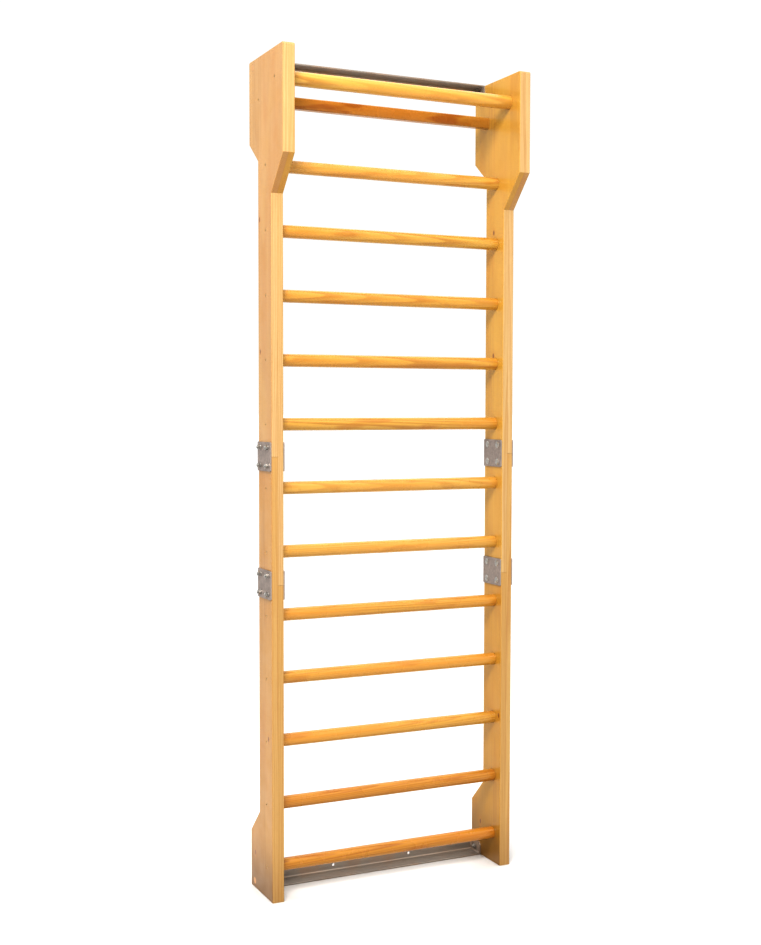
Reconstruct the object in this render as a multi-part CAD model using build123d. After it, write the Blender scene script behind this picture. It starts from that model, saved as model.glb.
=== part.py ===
from build123d import *
from math import asin, cos, sin
import os

os.makedirs("parts", exist_ok=True)

# Gymnastic wall bars in two bolted halves.
# +X is to the right seen from the front, +Y towards the wall, +Z up.
# The origin is on the floor, at mid width and mid depth.  All sizes in mm.

# ---- overall size ----
HEIGHT = 2440.0
WIDTH = 794.0
LAYER_T = 18.0           # each side is two boards of this thickness, glued face to face
POST_DEPTH = 106.0
WALL_REACH = 73.0        # head and foot stand this far behind the post, on the wall
HEAD_REACH = 92.0        # the head stands this far in front of the post

# ---- side outline, measured down from the top or up from the floor ----
HEAD_REAR_DROP = 238.0   # length of the head's rear edge
HEAD_REAR_SLOPE = 58.0   # height of the slope below it
HEAD_FRONT_DROP = 300.0  # length of the head's front edge
HEAD_FRONT_SLOPE = 100.0
FOOT_REAR_RISE = 168.0   # length of the foot's rear edge
HEAD_CORNER_R = 6.0
BOARD_EDGE_R = 1.5

# ---- bars ----
RUNG_COUNT = 12
RUNG_D = 37.5
RUNG_SETBACK = 48.0      # front edge of the post to the rung's axis
TOP_RUNG_DROP = 315.0    # top of the sides to the axis of the top rung
BOTTOM_RUNG_Z = 93.3
FRONT_BAR_D = 41.0
FRONT_BAR_SETBACK = 65.0  # front edge of the head to the bar's axis
FRONT_BAR_DROP = 82.0
SLAT_H = 33.0
SLAT_T = 24.0
SLAT_EDGE_R = 3.0
SLAT_DROP = 121.0
SLAT_SETBACK = 93.0      # front edge of the post to the slat's front face
BAR_FIT = 0.15           # radial clearance of a glued bar in its bore

# ---- splices: the outer boards butt below rung 5, the inner boards below rung 7 ----
OUTER_BUTT_RUNG = 5
INNER_BUTT_RUNG = 7
BUTT_GAP = 0.4
PLATE_T = 4.0
PLATE_H = 84.0
PLATE_INSET = 1.0        # plate edge inside the post's edge
PLATE_CORNER_R = 4.0
SPLICE_BOLT_SPACING_Y = 60.0
SPLICE_BOLT_SPACING_Z = 53.0

# ---- M8 hardware ----
BOLT_D = 8.0
BOLT_CLEARANCE = 0.3     # radial, in wood and steel
NECK_CLEARANCE = 0.2     # on each flat of the square neck
NUT_FIT = 0.1
COACH_HEAD_D = 20.6
COACH_HEAD_H = 4.6
COACH_HEAD_RIM = 0.6     # straight edge under the dome
THREAD_PAST_NUT = 2.9
NUT_AF = 13.0
NUT_H = 6.5
HEX_HEAD_H = 5.3
WASHER_D = 16.0
WASHER_T = 1.6
RAIL_THREAD_PAST_NUT = 3.3
SOCKET_ROOM = 2.0        # round the washer in the counterbore, for a socket spanner
PLUG_T = 5.5
PLUG_OVER_HEAD = 0.6
PLUG_FIT = 0.1

# ---- wood screws through the outer boards into the bar ends ----
SCREW_D = 4.5
SCREW_HEAD_D = 9.5
SCREW_LENGTH = 60.0
SCREW_TIP = 5.0
SCREW_SINK = 0.4
SCREW_FIT = 0.1
SCREW_CLEARANCE = 0.2
DRIVE_SPAN = 4.8         # cross recess in the head
DRIVE_WIDTH = 1.0
DRIVE_DEPTH = 1.6

# ---- steel angle rails ----
RAIL_LEG_Y = 60.0
RAIL_LEG_Z = 40.0
RAIL_T = 4.0
RAIL_ROOT_R = 5.0
RAIL_TOE_R = 2.0
TAB_T = 4.0
TAB_CORNER = 10.0
WELD_LEG = 4.0
WELD_END_GAP = 4.0
WALL_HOLE_D = 9.0
WALL_HOLE_SPACING = 260.0
RAIL_HOLE_Z = 20.0       # bolts and wall holes, from the outer face of the long leg

# ---- derived positions ----
Y_WALL = (POST_DEPTH + WALL_REACH + HEAD_REACH) / 2
Y_FRONT = -Y_WALL
Y_POST_REAR = Y_WALL - WALL_REACH
Y_POST_FRONT = Y_POST_REAR - POST_DEPTH
Y_POST_MID = (Y_POST_REAR + Y_POST_FRONT) / 2
X_OUTER = -WIDTH / 2
X_GLUE = X_OUTER + LAYER_T
X_INNER = X_GLUE + LAYER_T
RUNG_PITCH = (HEIGHT - TOP_RUNG_DROP - BOTTOM_RUNG_Z) / (RUNG_COUNT - 1)
RUNG_Y = Y_POST_FRONT + RUNG_SETBACK
FRONT_BAR_Y = Y_FRONT + FRONT_BAR_SETBACK
FRONT_BAR_Z = HEIGHT - FRONT_BAR_DROP
SLAT_Y = Y_POST_FRONT + SLAT_SETBACK + SLAT_T / 2
SLAT_Z = HEIGHT - SLAT_DROP
BAR_LENGTH = WIDTH - 2 * LAYER_T
RAIL_BOLT_Y = Y_WALL - RAIL_LEG_Y / 2
COUNTERBORE_D = WASHER_D + 2 * SOCKET_ROOM
COUNTERBORE_DEPTH = PLUG_T + PLUG_OVER_HEAD + HEX_HEAD_H + WASHER_T
SPLICE_GRIP = 2 * (LAYER_T + PLATE_T)
SPLICE_BOLT_LENGTH = SPLICE_GRIP + WASHER_T + NUT_H + THREAD_PAST_NUT
RAIL_GRIP = 2 * LAYER_T - COUNTERBORE_DEPTH + TAB_T
RAIL_BOLT_LENGTH = RAIL_GRIP + 2 * WASHER_T + NUT_H + RAIL_THREAD_PAST_NUT


def rung_z(number):
    """Height of a rung's axis, rung 1 at the top."""
    return HEIGHT - TOP_RUNG_DROP - (number - 1) * RUNG_PITCH


OUTER_BUTT_Z = rung_z(OUTER_BUTT_RUNG) - RUNG_PITCH / 2
INNER_BUTT_Z = rung_z(INNER_BUTT_RUNG) - RUNG_PITCH / 2
SPLICE_LEVELS = {"upper": OUTER_BUTT_Z, "lower": INNER_BUTT_Z}

RUNG_CENTRES = [(RUNG_Y, rung_z(n)) for n in range(1, RUNG_COUNT + 1)]
BAR_CENTRES = RUNG_CENTRES + [(FRONT_BAR_Y, FRONT_BAR_Z), (SLAT_Y, SLAT_Z)]
RAIL_BOLT_CENTRES = [(RAIL_BOLT_Y, HEIGHT - RAIL_HOLE_Z), (RAIL_BOLT_Y, RAIL_HOLE_Z)]
SPLICE_BOLT_CENTRES = [
    (Y_POST_MID + side * SPLICE_BOLT_SPACING_Y / 2, level + row * SPLICE_BOLT_SPACING_Z / 2)
    for level in SPLICE_LEVELS.values()
    for row in (1, -1)
    for side in (-1, 1)
]


# ---- helpers ----
def rod_x(radius, x_from, x_to, y, z):
    """Round bar along X."""
    length = abs(x_to - x_from)
    return Pos((x_from + x_to) / 2, y, z) * Rot(0, 90, 0) * Cylinder(radius, length)


def cone_x(radius_from, radius_to, x_from, x_to, y, z):
    """Cone along X, with x_from less than x_to."""
    centre = Pos((x_from + x_to) / 2, y, z)
    return centre * Rot(0, 90, 0) * Cone(radius_from, radius_to, x_to - x_from)


def hexagon_x(across_flats, x_from, x_to, y, z):
    """Hexagonal prism along X with its corners turned off on both ends."""
    corner_r = across_flats / 3**0.5
    plane = Plane(origin=(x_from, y, z), x_dir=(0, 1, 0), z_dir=(1, 0, 0))
    prism = extrude(plane * RegularPolygon(corner_r, 6), amount=x_to - x_from)
    turned = rod_x(corner_r, x_from, x_to, y, z)
    turned = chamfer(turned.edges(), (corner_r - across_flats / 2) * 0.9)
    return prism & turned


def group(name, solids):
    """Several like pieces as one named part."""
    return Compound(label=name, children=solids)


def on_right(shape):
    return mirror(shape, about=Plane.YZ)


def save(name, shape):
    export_step(shape, "parts/" + name + ".step")


def save_pair(name, left_shape):
    """Write a left piece and its mirror image on the right."""
    save("left_" + name, left_shape)
    save("right_" + name, on_right(left_shape))


def save_group_pair(name, left_solids):
    save("left_" + name, group("left_" + name, left_solids))
    save("right_" + name, group("right_" + name, [on_right(s) for s in left_solids]))


# ---- side boards ----
def board(corners, x_from, show_x, butt_z, round_top):
    """Board of the given side outline, its edges rounded on the face that shows."""
    plane = Plane(origin=(x_from, 0, 0), x_dir=(0, 1, 0), z_dir=(1, 0, 0))
    outline = make_face(Polyline(*corners, close=True))
    if round_top:
        outline = fillet(outline.vertices().group_by(Axis.Y)[-1], HEAD_CORNER_R)
    blank = extrude(plane * outline, amount=LAYER_T)
    shown = blank.edges().filter_by_position(Axis.X, show_x - 0.01, show_x + 0.01)
    shown = [edge for edge in shown if abs(edge.center().Z - butt_z) > 1]
    return fillet(shown, BOARD_EDGE_R)


def upper_corners(butt_z):
    low = butt_z + BUTT_GAP / 2
    return [
        (Y_POST_FRONT, low),
        (Y_POST_FRONT, HEIGHT - HEAD_FRONT_DROP - HEAD_FRONT_SLOPE),
        (Y_FRONT, HEIGHT - HEAD_FRONT_DROP),
        (Y_FRONT, HEIGHT),
        (Y_WALL, HEIGHT),
        (Y_WALL, HEIGHT - HEAD_REAR_DROP),
        (Y_POST_REAR, HEIGHT - HEAD_REAR_DROP - HEAD_REAR_SLOPE),
        (Y_POST_REAR, low),
    ]


def lower_corners(butt_z):
    high = butt_z - BUTT_GAP / 2
    return [
        (Y_POST_FRONT, 0),
        (Y_POST_FRONT, high),
        (Y_POST_REAR, high),
        (Y_POST_REAR, FOOT_REAR_RISE + WALL_REACH),
        (Y_WALL, FOOT_REAR_RISE),
        (Y_WALL, 0),
    ]


def splice_bolt_holes():
    radius = BOLT_D / 2 + BOLT_CLEARANCE
    return [rod_x(radius, X_OUTER - 1, X_INNER + 1, y, z) for y, z in SPLICE_BOLT_CENTRES]


def rail_bolt_holes():
    radius = BOLT_D / 2 + BOLT_CLEARANCE
    return [rod_x(radius, X_OUTER - 1, X_INNER + 1, y, z) for y, z in RAIL_BOLT_CENTRES]


def counterbores():
    x_floor = X_OUTER + COUNTERBORE_DEPTH
    return [rod_x(COUNTERBORE_D / 2, X_OUTER - 1, x_floor, y, z) for y, z in RAIL_BOLT_CENTRES]


def screw_holes():
    """Clearance hole and 90 degree countersink for each bar's screw."""
    hole_r = SCREW_D / 2 + SCREW_CLEARANCE
    mouth_r = SCREW_HEAD_D / 2 + SCREW_SINK + SCREW_FIT
    holes = []
    for y, z in BAR_CENTRES:
        holes.append(rod_x(hole_r, X_OUTER, X_GLUE + 1, y, z))
        holes.append(cone_x(mouth_r, hole_r, X_OUTER, X_OUTER + mouth_r - hole_r, y, z))
    return holes


def slat_blank(length, clearance):
    section = RectangleRounded(
        SLAT_T + 2 * clearance, SLAT_H + 2 * clearance, SLAT_EDGE_R + clearance
    )
    plane = Plane(origin=(-length / 2, SLAT_Y, SLAT_Z), x_dir=(0, 1, 0), z_dir=(1, 0, 0))
    return extrude(plane * section, amount=length)


def bar_bores():
    """Bores through the inner boards; the bars butt on the outer boards."""
    bores = [
        rod_x(RUNG_D / 2 + BAR_FIT, X_GLUE - 1, X_INNER + 1, y, z) for y, z in RUNG_CENTRES
    ]
    bores.append(
        rod_x(FRONT_BAR_D / 2 + BAR_FIT, X_GLUE - 1, X_INNER + 1, FRONT_BAR_Y, FRONT_BAR_Z)
    )
    bores.append(slat_blank(BAR_LENGTH + 2, BAR_FIT))
    return bores


def make_boards():
    outer_cuts = splice_bolt_holes() + rail_bolt_holes() + counterbores() + screw_holes()
    inner_cuts = splice_bolt_holes() + rail_bolt_holes() + bar_bores()
    outer_upper = board(upper_corners(OUTER_BUTT_Z), X_OUTER, X_OUTER, OUTER_BUTT_Z, True)
    outer_lower = board(lower_corners(OUTER_BUTT_Z), X_OUTER, X_OUTER, OUTER_BUTT_Z, False)
    inner_upper = board(upper_corners(INNER_BUTT_Z), X_GLUE, X_INNER, INNER_BUTT_Z, True)
    inner_lower = board(lower_corners(INNER_BUTT_Z), X_GLUE, X_INNER, INNER_BUTT_Z, False)
    save_pair("outer_upper_board", outer_upper - outer_cuts)
    save_pair("outer_lower_board", outer_lower - outer_cuts)
    save_pair("inner_upper_board", inner_upper - inner_cuts)
    save_pair("inner_lower_board", inner_lower - inner_cuts)


# ---- rungs, front bar and rear slat ----
def pilot_holes(y, z):
    """Screw pilots in both ends of a bar."""
    depth = SCREW_LENGTH + SCREW_SINK - LAYER_T + 2
    radius = SCREW_D / 2 + SCREW_FIT
    left = rod_x(radius, X_GLUE - 1, X_GLUE + depth, y, z)
    return [left, on_right(left)]


def make_bars():
    half = BAR_LENGTH / 2
    for number, (y, z) in enumerate(RUNG_CENTRES, start=1):
        rung = rod_x(RUNG_D / 2, -half, half, y, z) - pilot_holes(y, z)
        save(f"rung_{number:02d}", rung)
    front_bar = rod_x(FRONT_BAR_D / 2, -half, half, FRONT_BAR_Y, FRONT_BAR_Z)
    save("front_pull_up_bar", front_bar - pilot_holes(FRONT_BAR_Y, FRONT_BAR_Z))
    save("rear_slat", slat_blank(BAR_LENGTH, 0) - pilot_holes(SLAT_Y, SLAT_Z))


def bar_screw(y, z):
    """Countersunk screw, its head just below the outer face."""
    x_head = X_OUTER + SCREW_SINK
    head_h = (SCREW_HEAD_D - SCREW_D) / 2
    x_end = x_head + SCREW_LENGTH
    screw = cone_x(SCREW_HEAD_D / 2, SCREW_D / 2, x_head, x_head + head_h, y, z)
    screw += rod_x(SCREW_D / 2, x_head + head_h, x_end - SCREW_TIP, y, z)
    screw += cone_x(SCREW_D / 2, 0.3, x_end - SCREW_TIP, x_end, y, z)
    slot = Box(2 * DRIVE_DEPTH, DRIVE_SPAN, DRIVE_WIDTH)
    screw -= Pos(x_head, y, z) * slot
    screw -= Pos(x_head, y, z) * Rot(90, 0, 0) * slot
    return screw.solid()


# ---- splice plates and bolts ----
def splice_plate(x_from, level, square_holes):
    """Plate across a butt joint, with round holes or square ones for the bolt necks."""
    plate_w = POST_DEPTH - 2 * PLATE_INSET
    plane = Plane(origin=(x_from, Y_POST_MID, level), x_dir=(0, 1, 0), z_dir=(1, 0, 0))
    plate = extrude(plane * RectangleRounded(plate_w, PLATE_H, PLATE_CORNER_R), amount=PLATE_T)
    square = BOLT_D + 2 * NECK_CLEARANCE
    for y, z in SPLICE_BOLT_CENTRES:
        if square_holes:
            plate -= Pos(x_from + PLATE_T / 2, y, z) * Box(3 * PLATE_T, square, square)
        else:
            plate -= rod_x(BOLT_D / 2 + BOLT_CLEARANCE, x_from - 1, x_from + PLATE_T + 1, y, z)
    return plate.solid()


def coach_head(x_seat, y, z):
    """Low dome on a short straight rim, its flat side at x_seat."""
    head_r = COACH_HEAD_D / 2
    dome_h = COACH_HEAD_H - COACH_HEAD_RIM
    dome_r = (head_r**2 + dome_h**2) / (2 * dome_h)
    half_angle = asin(head_r / dome_r) / 2
    x_mid = COACH_HEAD_H - dome_r + dome_r * cos(half_angle)
    rim = Polyline((COACH_HEAD_H, 0), (0, 0), (0, head_r), (COACH_HEAD_RIM, head_r))
    dome = ThreePointArc(
        (COACH_HEAD_RIM, head_r), (x_mid, dome_r * sin(half_angle)), (COACH_HEAD_H, 0)
    )
    plane = Plane(origin=(x_seat, y, z), x_dir=(1, 0, 0), z_dir=(0, 0, 1))
    profile = plane * make_face(rim.edges() + dome.edges())
    return revolve(profile, Axis((x_seat, y, z), (1, 0, 0)))


def coach_bolt(y, z):
    """Domed head on the inner plate, square neck in it, thread end past the outer nut."""
    x_head = X_INNER + PLATE_T
    head = coach_head(x_head, y, z)
    neck = Pos(x_head - PLATE_T / 2, y, z) * Box(PLATE_T, BOLT_D, BOLT_D)
    x_end = x_head - SPLICE_BOLT_LENGTH
    shank = rod_x(BOLT_D / 2, x_end, x_head, y, z)
    shank = chamfer(shank.edges().group_by(Axis.X)[0], 1.0)
    return (head + neck + shank).solid()


def washer(x_from, y, z):
    ring = rod_x(WASHER_D / 2, x_from, x_from + WASHER_T, y, z)
    return (ring - rod_x(BOLT_D / 2 + BOLT_CLEARANCE, x_from - 1, x_from + WASHER_T + 1, y, z)).solid()


def nut(x_from, y, z):
    body = hexagon_x(NUT_AF, x_from, x_from + NUT_H, y, z)
    return (body - rod_x(BOLT_D / 2 + NUT_FIT, x_from - 1, x_from + NUT_H + 1, y, z)).solid()


def make_splices():
    for name, level in SPLICE_LEVELS.items():
        save_pair(name + "_splice_plate_outer", splice_plate(X_OUTER - PLATE_T, level, False))
        save_pair(name + "_splice_plate_inner", splice_plate(X_INNER, level, True))
    x_washer = X_OUTER - PLATE_T - WASHER_T
    save_group_pair("splice_bolts", [coach_bolt(y, z) for y, z in SPLICE_BOLT_CENTRES])
    save_group_pair("splice_washers", [washer(x_washer, y, z) for y, z in SPLICE_BOLT_CENTRES])
    save_group_pair("splice_nuts", [nut(x_washer - NUT_H, y, z) for y, z in SPLICE_BOLT_CENTRES])


# ---- steel rails between the heads and between the feet ----
def flip_to_floor(shape):
    """Turn a top rail piece over to the same place between the feet."""
    return Pos(0, 0, HEIGHT) * mirror(shape, about=Plane.XY)


def top_rail():
    """Angle with its long leg level at the top and its short leg on the wall."""
    y_toe = Y_WALL - RAIL_LEG_Y
    z_toe = HEIGHT - RAIL_LEG_Z
    corners = [
        (Y_WALL, HEIGHT),
        (y_toe, HEIGHT),
        (y_toe, HEIGHT - RAIL_T),
        (Y_WALL - RAIL_T, HEIGHT - RAIL_T),
        (Y_WALL - RAIL_T, z_toe),
        (Y_WALL, z_toe),
    ]
    section = make_face(Polyline(*corners, close=True))
    root = section.vertices().sort_by_distance((Y_WALL - RAIL_T, HEIGHT - RAIL_T, 0))[0]
    section = fillet(root, RAIL_ROOT_R)
    toes = [
        section.vertices().sort_by_distance((y_toe, HEIGHT - RAIL_T, 0))[0],
        section.vertices().sort_by_distance((Y_WALL - RAIL_T, z_toe, 0))[0],
    ]
    section = fillet(toes, RAIL_TOE_R)
    length = -2 * (X_INNER + TAB_T)
    plane = Plane(origin=(-length / 2, 0, 0), x_dir=(0, 1, 0), z_dir=(1, 0, 0))
    rail = extrude(plane * section, amount=length)
    for side in (-1, 1):
        centre = Pos(side * WALL_HOLE_SPACING / 2, Y_WALL - RAIL_T / 2, HEIGHT - RAIL_HOLE_Z)
        rail -= centre * Rot(90, 0, 0) * Cylinder(WALL_HOLE_D / 2, 3 * RAIL_T)
    return rail.solid()


def weld_bead(start, length, direction, into):
    """Three-cornered bead in the corner of tab and rail leg."""
    x, y, z = start
    corner = Vector(x, y, z)
    along = Vector(*direction)
    tip_x = corner + Vector(WELD_LEG, 0, 0)
    tip_leg = corner + Vector(*into) * WELD_LEG
    face = make_face(Polyline(corner, tip_x, tip_leg, close=True))
    return extrude(face, amount=length, dir=along)


def left_top_tab():
    """End tab of the top rail, with the weld beads that join it to the rail."""
    y_toe = Y_WALL - RAIL_LEG_Y
    z_toe = HEIGHT - RAIL_LEG_Z
    corners = [
        (Y_WALL, HEIGHT),
        (y_toe, HEIGHT),
        (y_toe, z_toe + TAB_CORNER),
        (y_toe + TAB_CORNER, z_toe),
        (Y_WALL, z_toe),
    ]
    plane = Plane(origin=(X_INNER, 0, 0), x_dir=(0, 1, 0), z_dir=(1, 0, 0))
    tab = extrude(plane * make_face(Polyline(*corners, close=True)), amount=TAB_T)
    y_bolt, z_bolt = RAIL_BOLT_CENTRES[0]
    tab -= rod_x(BOLT_D / 2 + BOLT_CLEARANCE, X_INNER - 1, X_INNER + TAB_T + 1, y_bolt, z_bolt)
    x_face = X_INNER + TAB_T
    z_leg = HEIGHT - RAIL_T
    y_leg = Y_WALL - RAIL_T
    long_bead = RAIL_LEG_Y - RAIL_T - RAIL_ROOT_R - 2 * WELD_END_GAP
    short_bead = RAIL_LEG_Z - RAIL_T - RAIL_ROOT_R - 2 * WELD_END_GAP
    y_start = y_toe + WELD_END_GAP
    z_start = z_toe + WELD_END_GAP
    tab += weld_bead((x_face, y_start, z_leg), long_bead, (0, 1, 0), (0, 0, -1))
    tab += weld_bead((x_face, y_leg, z_start), short_bead, (0, 0, 1), (0, -1, 0))
    return tab.solid()


def rail_bolt(y, z):
    """Hexagon bolt from the counterbore through both boards and the tab."""
    x_seat = X_OUTER + COUNTERBORE_DEPTH - WASHER_T
    head = hexagon_x(NUT_AF, x_seat - HEX_HEAD_H, x_seat, y, z)
    shank = rod_x(BOLT_D / 2, x_seat, x_seat + RAIL_BOLT_LENGTH, y, z)
    shank = chamfer(shank.edges().group_by(Axis.X)[-1], 1.0)
    return (head + shank).solid()


def make_rails():
    rail = top_rail()
    tab = left_top_tab()
    save("top_rail", rail)
    save("bottom_rail", flip_to_floor(rail))
    save_pair("top_rail_tab", tab)
    save_pair("bottom_rail_tab", flip_to_floor(tab))
    x_floor = X_OUTER + COUNTERBORE_DEPTH
    x_tab = X_INNER + TAB_T
    washers = []
    for y, z in RAIL_BOLT_CENTRES:
        washers.append(washer(x_floor - WASHER_T, y, z))
        washers.append(washer(x_tab, y, z))
    plug_r = COUNTERBORE_D / 2 - PLUG_FIT
    plugs = [rod_x(plug_r, X_OUTER, X_OUTER + PLUG_T, y, z) for y, z in RAIL_BOLT_CENTRES]
    save_group_pair("rail_bolts", [rail_bolt(y, z) for y, z in RAIL_BOLT_CENTRES])
    save_group_pair("rail_washers", washers)
    save_group_pair("rail_nuts", [nut(x_tab + WASHER_T, y, z) for y, z in RAIL_BOLT_CENTRES])
    save_group_pair("rail_bolt_plugs", plugs)


make_boards()
make_bars()
save_group_pair("bar_screws", [bar_screw(y, z) for y, z in BAR_CENTRES])
make_splices()
make_rails()
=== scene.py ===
import math

import bpy
from bpy.props import FloatProperty, FloatVectorProperty, IntProperty, PointerProperty
from bpy.types import NodeSocket, Operator, Panel, PropertyGroup
from mathutils import Matrix, Vector


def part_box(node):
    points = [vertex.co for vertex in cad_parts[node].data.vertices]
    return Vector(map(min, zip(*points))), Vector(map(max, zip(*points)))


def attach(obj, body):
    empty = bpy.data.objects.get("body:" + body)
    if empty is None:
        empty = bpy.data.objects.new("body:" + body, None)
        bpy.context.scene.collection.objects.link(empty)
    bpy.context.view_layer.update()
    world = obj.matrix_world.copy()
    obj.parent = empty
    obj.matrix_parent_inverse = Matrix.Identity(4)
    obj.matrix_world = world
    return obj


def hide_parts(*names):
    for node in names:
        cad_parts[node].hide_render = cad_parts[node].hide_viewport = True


bl_info = {
    "name": "Gymnastic Wall Bars",
    "version": (1, 0, 0),
    "blender": (4, 5, 0),
    "location": "3D View > Sidebar > Wall Bars",
    "description": "Varnished boards, turned rungs and steel hardware on a fixed wall bar frame",
    "category": "Object",
}

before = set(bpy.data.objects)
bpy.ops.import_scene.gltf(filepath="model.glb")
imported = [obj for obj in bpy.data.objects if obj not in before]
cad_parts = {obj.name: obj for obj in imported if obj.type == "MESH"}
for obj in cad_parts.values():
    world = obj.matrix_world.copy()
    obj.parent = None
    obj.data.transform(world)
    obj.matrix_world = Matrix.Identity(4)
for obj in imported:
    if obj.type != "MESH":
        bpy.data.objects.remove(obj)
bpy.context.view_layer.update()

BODY = "root"
SIDES = ("left", "right")
HALVES = ("upper", "lower")
LAYERS = ("outer", "inner")
RUNGS = sorted(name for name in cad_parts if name.startswith("rung_"))
MM = 0.001
NUT_PLAY = 0.2 * MM
WASHER_PLAY = 0.6 * MM
STAVE_WIDTH = 92 * MM
BAR_ROWS = 90
BOLT_THREAD_ROWS = 96
SCREW_THREAD_ROWS = 60
BEVEL_ROWS = 5
DOME_ROWS = 10
BEVEL_SLOPE = math.tan(math.radians(30))
FACE_SHARE = 0.475  # radius of a hexagon's flat face, as a share of its width across flats
SENSOR_WIDTH = 36.0


# ---- places read from the frame ----
def loose_boxes(node):
    """Lowest and highest corner of each separate solid in a CAD node, top one first."""
    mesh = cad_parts[node].data
    corner_key = [tuple(round(c * 1e6) for c in v.co) for v in mesh.vertices]
    parent = {key: key for key in corner_key}

    def root(key):
        while parent[key] != key:
            parent[key] = parent[parent[key]]
            key = parent[key]
        return key

    for face in mesh.polygons:
        first = root(corner_key[face.vertices[0]])
        for index in face.vertices[1:]:
            parent[root(corner_key[index])] = first
    solids = {}
    for vertex, key in zip(mesh.vertices, corner_key):
        solids.setdefault(root(key), []).append(vertex.co)
    boxes = [
        (Vector([min(c[i] for c in cos) for i in range(3)]),
         Vector([max(c[i] for c in cos) for i in range(3)]))
        for cos in solids.values()
    ]
    return sorted(boxes, key=lambda box: (-round(box[1].z, 4), box[0].y, box[0].x))


def seats(node, from_outside, offset=0.0):
    """Points on the axes of a node's solids, offset from their outer or inner ends."""
    points = []
    for low, high in loose_boxes(node):
        middle = (low + high) / 2
        outward = 1 if middle.x > 0 else -1
        ends = sorted((low.x * outward, high.x * outward))
        reach = ends[1] - offset if from_outside else ends[0] + offset
        points.append((reach * outward, middle.y, middle.z))
    return points


def solid_size(node):
    """Size of the first solid in a CAD node."""
    low, high = loose_boxes(node)[0]
    return high - low


RUNG_SIZE = solid_size("rung_01")
PULL_UP_SIZE = solid_size("front_pull_up_bar")
COACH_BOLT_SIZE = solid_size("left_splice_bolts")
NUT_SIZE = solid_size("left_splice_nuts")
WASHER_SIZE = solid_size("left_splice_washers")
RAIL_BOLT_SIZE = solid_size("left_rail_bolts")
PLUG_SIZE = solid_size("left_rail_bolt_plugs")
SCREW_SIZE = solid_size("left_bar_screws")
GLUE_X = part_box("right_outer_upper_board")[0].x
RUNG_PITCH = (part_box(RUNGS[0])[0].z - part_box(RUNGS[-1])[0].z) / (len(RUNGS) - 1)


# ---- settings a user would change ----
def colour_setting(name, text, default):
    return FloatVectorProperty(
        name=name, description=text, default=default, subtype="COLOR", size=3, min=0, max=1
    )


def length_setting(name, text, default):
    return FloatProperty(
        name=name, description=text, default=default, min=0, subtype="DISTANCE", unit="LENGTH",
        precision=5,
    )


def share_setting(name, text, default):
    return FloatProperty(
        name=name, description=text, default=default, min=0, max=1, subtype="FACTOR"
    )


def amount_setting(name, text, default, **more):
    return FloatProperty(name=name, description=text, default=default, min=0, **more)


def angle_setting(name, text, degrees):
    return FloatProperty(
        name=name, description=text, default=math.radians(degrees), subtype="ANGLE",
        unit="ROTATION",
    )


def place_setting(name, text, default):
    return FloatVectorProperty(
        name=name, description=text, default=default, subtype="TRANSLATION", unit="LENGTH"
    )


class WallBarsBoardFinish(PropertyGroup):
    """Wood and varnish of the side boards."""

    outer_colour: colour_setting(
        "Outer layer", "Spring wood of the outer boards", (0.490, 0.300, 0.118))
    inner_colour: colour_setting(
        "Inner layer", "Spring wood of the inner boards", (0.515, 0.316, 0.068))
    summer_colour: colour_setting(
        "Summer wood", "Darker part of each year ring", (0.400, 0.205, 0.062))
    # Edge colour: the edges' own paler tone plus painted highlight for the light on the front
    # edges.
    edge_colour_and_highlight: colour_setting(
        "Sawn edge", "Paler wood on the narrow edges", (0.560, 0.420, 0.225))
    # Painted shade: the lower boards are darkened, standing in for light falling off towards the
    # floor.
    lower_painted_shade: colour_setting(
        "Lower boards", "Tint of the boards of the lower half", (0.93, 0.86, 0.68))
    knot_colour: colour_setting("Knots", "Centre of a knot", (0.20, 0.070, 0.020))
    ring_width: length_setting("Ring width", "Distance between year rings", 0.0042)
    gloss: share_setting("Varnish roughness", "Roughness of the satin varnish", 0.36)


class WallBarsBarFinish(PropertyGroup):
    """Sizes, wood and varnish of the rungs, the pull-up bar and the rear slat."""

    rung_diameter: length_setting("Rung diameter", "Thickness of a rung", RUNG_SIZE.z)
    pull_up_diameter: length_setting(
        "Pull-up bar diameter", "Thickness of the front bar", PULL_UP_SIZE.z)
    end_round: length_setting("End round", "Rounding of a bar's ends", 1.5 * MM)
    unevenness: length_setting(
        "Unevenness", "Most that a turned bar falls below its full thickness", 0.45 * MM)
    seed: IntProperty(name="Seed", description="Picks the unevenness", default=7)
    rung_colour: colour_setting("Rung", "Spring wood of the rungs", (0.545, 0.340, 0.078))
    rung_summer: colour_setting("Rung grain", "Darker grain of the rungs", (0.40, 0.195, 0.035))
    pull_up_colour: colour_setting("Pull-up bar", "Wood of the front bar", (0.60, 0.385, 0.100))
    # The rear slat's colour is darker than the rungs'.
    slat_colour: colour_setting("Rear slat", "Wood of the rear slat", (0.45, 0.240, 0.048))
    ring_width: length_setting("Ring width", "Distance between year rings", 0.0050)
    gloss: share_setting("Varnish roughness", "Roughness of the honey varnish", 0.27)


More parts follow.
